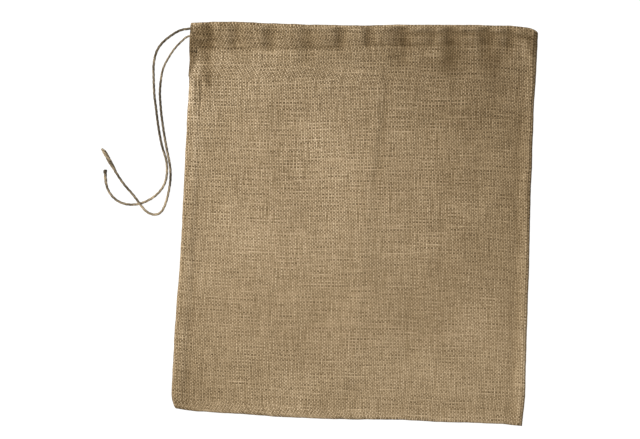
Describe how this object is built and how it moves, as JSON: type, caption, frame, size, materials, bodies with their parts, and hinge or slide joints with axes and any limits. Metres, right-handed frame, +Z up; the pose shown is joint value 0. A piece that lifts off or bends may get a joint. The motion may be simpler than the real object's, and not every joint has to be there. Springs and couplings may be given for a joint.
{
  "type": "jute sack",
  "caption": "Rectangular hessian sack, empty and lying flat, with a gathered drawcord casing at its mouth and the cord's two ends out at one side.",
  "frame": {"origin": "middle of the cloth's footprint, on the surface the sack lies on", "axes": "+X across the sack to its folded side, +Y up the sack to its mouth, +Z up from the surface it lies on"},
  "size_m": [0.4947, 0.458, 0.013],
  "materials": {
    "hessian": "coarse plain-woven jute, matt, natural brown",
    "twine": "three-ply jute twine, matt, natural brown"
  },
  "bodies": {
    "root": {"sack_cloth": "hessian", "drawcord_run": "twine", "drawcord_end_front": "twine", "drawcord_end_back": "twine"}
  },
  "joints": []
}
